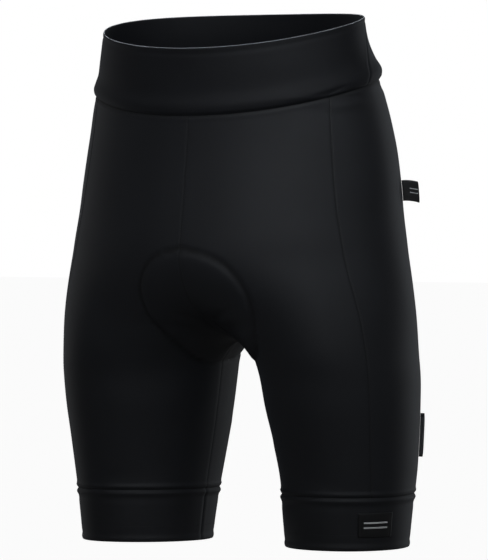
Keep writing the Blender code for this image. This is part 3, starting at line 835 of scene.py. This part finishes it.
hipTab, hipSheet, hipAlong, hipHalf = makeTab("hipTab", tabShape["hip"], "hip_tab",
                                               labelWeave, 3.0 * mm, -1.6 * mm)
legTab, legSheet, legAlong, legHalf = makeTab("legTab", tabShape["leg"], "leg_tab",
                                               greyTape, 0.0, 0.3 * mm)

patchShape = {"u": (0.362, 0.448), "v": (4.28, 4.74), "wall": 0.9 * mm, "rows": 30, "columns": 40}


def makePatch():
    u = np.linspace(*patchShape["u"], patchShape["columns"] + 1)[None, :]
    v = np.linspace(*patchShape["v"], patchShape["rows"] + 1)[:, None]
    points, normals = skin(*np.broadcast_arrays(u, v))
    a = np.linspace(-1, 1, patchShape["columns"] + 1)[None, :]
    b = np.linspace(-1, 1, patchShape["rows"] + 1)[:, None]
    edge = np.maximum(np.abs(a), np.abs(b))
    lift = patchShape["wall"] * np.sqrt(np.clip(1 - np.clip((edge - 0.93) / 0.07, 0, 1) ** 2, 0.05, 1))
    lift = lift - 0.25 * mm * bump(edge - 0.86, 0.03)
    inner = points + normals * (cuffShape["proud"] + 0.3 * mm)
    outer = inner + normals * lift[..., None]
    piece = wallPiece("cuffPatch", outer, inner, arcLength(points, 1), arcLength(points, 0), labelWeave)
    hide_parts("cuff_patch")
    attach(piece, "root")
    return piece, points, normals


cuffPatch, patchPoints, patchNormals = makePatch()
print("tabs and patch made")


# Stitches: one small rounded thread loop is worked out once and laid along each seam line
stitchShape = {"sides": 6, "rings": (0.0, 0.14, 0.5, 0.86, 1.0), "ringSize": (0.35, 0.85, 1.0, 0.85, 0.35)}


def resample(line, normals, pitch):
    length = np.concatenate(([0], np.cumsum(np.linalg.norm(np.diff(line, axis=0), axis=1))))
    count = max(int(length[-1] / pitch), 1)
    at = (np.arange(count) + 0.5) * length[-1] / count
    middle = np.stack([np.interp(at, length, line[:, axis]) for axis in range(3)], axis=-1)
    normal = unit(np.stack([np.interp(at, length, normals[:, axis]) for axis in range(3)], axis=-1))
    ahead = np.stack([np.interp(at + 0.4 * mm, length, line[:, axis]) for axis in range(3)], axis=-1)
    behind = np.stack([np.interp(at - 0.4 * mm, length, line[:, axis]) for axis in range(3)], axis=-1)
    return middle, normal, unit(ahead - behind)


def stitchMesh(rows, length, thick, slant=0.0):  # rows of (middle, normal, tangent)
    ringAt = np.array(stitchShape["rings"])
    ringSize = np.array(stitchShape["ringSize"])
    turn = np.arange(stitchShape["sides"]) * 2 * math.pi / stitchShape["sides"]
    vertices, faces = [], []
    sides, rings = len(turn), len(ringAt)
    start = 0
    pattern = []
    for r in range(rings - 1):
        for k in range(sides):
            after = (k + 1) % sides
            pattern.append((r * sides + k, r * sides + after, (r + 1) * sides + after, (r + 1) * sides + k))
    capOne = [tuple(range(sides))[::-1]]
    capTwo = [tuple(range((rings - 1) * sides, rings * sides))]
    pattern = pattern + capOne + capTwo
    for middle, normal, tangent in rows:
        side = unit(np.cross(normal, tangent))
        lie = unit(tangent * math.cos(slant) + side * math.sin(slant))
        side = unit(np.cross(normal, lie))
        run = (ringAt - 0.5)[None, :, None, None] * length * lie[:, None, None, :]
        sink = -(np.abs(ringAt - 0.5) * 2)[None, :, None, None] ** 3 * thick * 0.45 * normal[:, None, None, :]
        round_ = ringSize[None, :, None, None] * thick / 2 * (
            np.cos(turn)[None, None, :, None] * side[:, None, None, :]
            + 0.7 * np.sin(turn)[None, None, :, None] * normal[:, None, None, :])
        ring = middle[:, None, None, :] + run + sink + round_
        block = ring.reshape(len(middle), -1, 3)
        for one in block:
            vertices.extend(one.tolist())
            faces.extend([tuple(i + start for i in face) for face in pattern])
            start += len(one)
    return vertices, faces


def stitchPiece(name, rows, length, thick, paint, slant=0.0):
    vertices, faces = stitchMesh(rows, length, thick, slant)
    mesh = bpy.data.meshes.new(name)
    mesh.from_pydata(vertices, [], faces)
    mesh.materials.append(paint)
    mesh.shade_smooth()
    piece = bpy.data.objects.new(name, mesh)
    bpy.context.scene.collection.objects.link(piece)
    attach(piece, "root")
    return piece


def seamLine(side, u, v, aside, lift, soft=True):  # a line along the cloth, moved aside and lifted
    points, normals = skin(u, v)
    tangent = unit(np.gradient(points, axis=0))
    across = unit(np.cross(normals, tangent))
    points = points + across * aside
    if soft:
        points = points + normals * softRelief(side, points, normals)[:, None]
    points = points + normals * lift
    mirror = np.array((1 if side == "left" else -1, 1, 1))
    return points * mirror, normals * mirror


def stitchAlong(lines, pitch):
    return [resample(points, normals, pitch) for points, normals in lines]


sewing = {"pitch": 2.6 * mm, "length": 2.1 * mm, "thick": 0.42 * mm, "twin": 1.7 * mm}


def sewSeams():
    flat, rise, waist, cuffTop = [], [], [], []
    longV = np.linspace(1.012, 3.985, 240)
    for side in ("left", "right"):
        for name in ("frontSeam", "rearSeam"):
            u = seamU(name, longV)
            for aside in (-sewing["twin"], sewing["twin"]):
                flat.append(seamLine(side, u, longV, aside, 0.04 * mm))
        riseV = np.linspace(1.012, 2.98, 150)
        for end in (0.0, 1.0):
            aside = sewing["twin"] if end == 0.0 else -sewing["twin"]
            rise.append(seamLine(side, np.full_like(riseV, end), riseV, -aside, 0.04 * mm))
        u = np.linspace(0, 1, 200)
        waist.append(seamLine(side, u, np.full_like(u, 1.022), 0.0, 0.2 * mm))
        cuffTop.append(seamLine(side, u, np.full_like(u, 3.975), 0.0, 0.95 * mm))
    rows = stitchAlong(flat, sewing["pitch"])
    stitchPiece("sideSeamStitches", rows, sewing["length"], sewing["thick"], blackThread)
    stitchPiece("riseStitches", stitchAlong(rise, sewing["pitch"]), sewing["length"],
                sewing["thick"], blackThread)
    stitchPiece("waistStitches", stitchAlong(waist, 2.4 * mm), 1.9 * mm, 0.40 * mm, blackThread)
    stitchPiece("cuffSeamStitches", stitchAlong(cuffTop, 2.4 * mm), 1.9 * mm, 0.40 * mm,
                blackThread)


sewSeams()
print("seams sewn")


def sewPadBorder():
    lines = []
    for side in ("left", "right"):
        points, normals = padBorders[side]
        mirror = np.array((1 if side == "left" else -1, 1, 1))
        lifted = points + normals * (softRelief(side, points, normals) + 0.10 * mm)[:, None]
        lines.append((lifted * mirror, normals * mirror))
    stitchPiece("padStitches", stitchAlong(lines, 2.2 * mm), 1.8 * mm, 0.45 * mm, blackThread, slant=0.5)


sewPadBorder()


def sewRim():  # the pale thread along the rim, also standing in for the rim's bright hairline highlight: partly painted highlight
    lines = []
    u = np.linspace(0, 1, 260)
    for side in ("left", "right"):
        points, normals = skin(u, np.full_like(u, 0.004))
        mirror = np.array((1 if side == "left" else -1, 1, 1))
        up = np.array((0, 0, 1.0))
        middle = points + normals * (bandShape["proud"] - bandShape["wall"] / 2 + 0.45 * mm) + up * 0.40 * mm
        lines.append((middle * mirror, np.broadcast_to(up, middle.shape)))
    stitchPiece("rimStitches", stitchAlong(lines, 2.7 * mm), 2.5 * mm, 0.75 * mm,
                greyThreadAndHighlight)


sewRim()


def sewHems():
    lines = []
    u = np.linspace(0, 1, 200)
    for side in ("left", "right"):
        for level, lift in ((4.70, 0.48 * mm),):
            lines.append(seamLine(side, u, np.full_like(u, level), 0.0, lift, soft=False))
    stitchPiece("hemStitches", stitchAlong(lines, 2.6 * mm), 2.0 * mm, 0.36 * mm,
                blackThread)


def sewTabs():
    # Plain pale bars on the hip tab and the cuff patch, each a few rows of satin stitch
    rows = []
    for face in (1, -1):
        for level in (0.42, 0.58):
            index = int(level * (hipSheet.shape[0] - 1))
            a, b = hipSheet[index, 6], hipSheet[index, 15]
            line = a + (b - a) * np.linspace(0, 1, 20)[:, None]
            normal = np.broadcast_to(hipAlong[index] * face, line.shape)
            line = line + normal * (tabShape["hip"]["wall"] / 2 + 0.06 * mm)
            rows.append(resample(line, normal, 0.42 * mm))
    stitchPiece("hipTabBars", rows, 1.1 * mm, 0.42 * mm, paleThread,
                slant=math.pi / 2)
    rows = []
    height, width = patchPoints.shape[:2]
    for level in (0.40, 0.60):
        index = int(level * (height - 1))
        line = patchPoints[index, int(width * 0.16):int(width * 0.84)]
        normal = patchNormals[index, int(width * 0.16):int(width * 0.84)]
        line = line + normal * (cuffShape["proud"] + 0.3 * mm + patchShape["wall"] + 0.05 * mm)
        rows.append(resample(line, normal, 0.45 * mm))
    stitchPiece("patchBars", rows, 1.9 * mm, 0.48 * mm, paleThread, slant=math.pi / 2)
    # Bar tacks at both ends of the leg tab
    rows = []
    for index in (1, 3, -4, -2):
        line = np.stack((legSheet[index, 0], legSheet[index, -2]))
        line = line[0] + (line[1] - line[0]) * np.linspace(0, 1, 12)[:, None]
        for face in (1, -1):
            normal = np.broadcast_to(legAlong[index] * face, line.shape)
            rows.append(resample(line + normal * (tabShape["leg"]["wall"] / 2 + 0.05 * mm), normal, 0.5 * mm))
    stitchPiece("legTabTacks", rows, 1.5 * mm, 0.42 * mm, blackThread,
                slant=math.pi / 2)


sewHems()
sewTabs()
print("rim, hems and tabs sewn")


# Floor, light and camera
def areaLight(name, place, aim, size, power, colour=(1, 1, 1)):
    lamp = bpy.data.lights.new(name, "AREA")
    lamp.shape = "RECTANGLE"
    lamp.size, lamp.size_y = size
    lamp.energy = power
    lamp.color = colour
    thing = bpy.data.objects.new(name, lamp)
    bpy.context.scene.collection.objects.link(thing)
    thing.location = place
    way = Vector(aim) - Vector(place)
    thing.rotation_euler = way.to_track_quat("-Z", "Y").to_euler()
    return thing


studio = {"floorHeight": -1.0, "floorSize": 60.0, "ambient": 0.10, "backdrop": 1.0, "floorGlow": 1.01}

bpy.ops.object.select_all(action="DESELECT")
bpy.ops.mesh.primitive_plane_add(size=studio["floorSize"], location=(0, 0, studio["floorHeight"]))
floor = bpy.context.active_object
floor.name = "studioFloor"
floorPaint = bpy.data.materials.new("paleFloor")
floorPaint.use_nodes = True
floorShader = floorPaint.node_tree.nodes["Principled BSDF"]
floorShader.inputs["Base Color"].default_value = (0.5, 0.5, 0.5, 1)
floorShader.inputs["Roughness"].default_value = 0.9
floorShader.inputs["Emission Color"].default_value = (1, 1, 1, 1)
floorShader.inputs["Emission Strength"].default_value = studio["floorGlow"] - 0.1
floor.visible_diffuse = floor.visible_glossy = False  # the cloth is lit by the lamps alone
floor.data.materials.append(floorPaint)

world = bpy.data.worlds.new("studioAir")
bpy.context.scene.world = world
world.use_nodes = True
sky = world.node_tree.nodes["Background"]
sky.inputs["Color"].default_value = (1, 1, 1, 1)
sky.inputs["Strength"].default_value = studio["ambient"]
seen = world.node_tree.nodes.new("ShaderNodeBackground")
seen.inputs["Color"].default_value = (1, 1, 1, 1)
seen.inputs["Strength"].default_value = studio["backdrop"]
seenWay = world.node_tree.nodes.new("ShaderNodeLightPath")
either = world.node_tree.nodes.new("ShaderNodeMixShader")
world.node_tree.links.new(seenWay.outputs["Is Camera Ray"], either.inputs[0])
world.node_tree.links.new(sky.outputs[0], either.inputs[1])
world.node_tree.links.new(seen.outputs[0], either.inputs[2])
world.node_tree.links.new(either.outputs[0], world.node_tree.nodes["World Output"].inputs[0])

turn = math.radians(30)
rightWay = (math.cos(turn), math.sin(turn))
backWay = (-math.sin(turn), math.cos(turn))


def fromView(right, back, up):  # a place given by the viewer's right, away from the viewer, and up
    return (rightWay[0] * right + backWay[0] * back, rightWay[1] * right + backWay[1] * back, up)


areaLight("rimRight", fromView(1.45, 1.25, -0.1), (0, 0, -0.25), (0.7, 1.8), 4.2, (0.90, 0.95, 1.0))
areaLight("rimLeft", fromView(-1.4, 1.35, -0.1), (0, 0, -0.25), (0.6, 1.8), 1.6)
areaLight("keyRight", fromView(1.3, -1.8, 0.9), (0, 0, -0.12), (1.2, 1.2), 9.5, (0.86, 0.93, 1.0))
frontFill = areaLight("frontFill", fromView(-0.25, -1.4, 0.75), (0, 0, -0.04), (0.8, 0.8), 1.3, (0.90, 0.95, 1.0))
frontFill.data.spread = math.radians(42)  # a grid keeps it off the legs

cameraData = bpy.data.cameras.new("viewCamera")
cameraData.lens = 318.1
cameraData.sensor_width = 36
camera = bpy.data.objects.new("viewCamera", cameraData)
bpy.context.scene.collection.objects.link(camera)
camera.location = fromView(0.0038, -4.7, -0.14)
aim = Vector(fromView(0.0038, 0, -0.243)) - camera.location
camera.rotation_euler = aim.to_track_quat("-Z", "Y").to_euler()
cameraData.clip_start, cameraData.clip_end = 0.1, 100
bpy.context.scene.camera = camera
bpy.context.scene.view_settings.view_transform = "Standard"
print("floor, light and camera set")
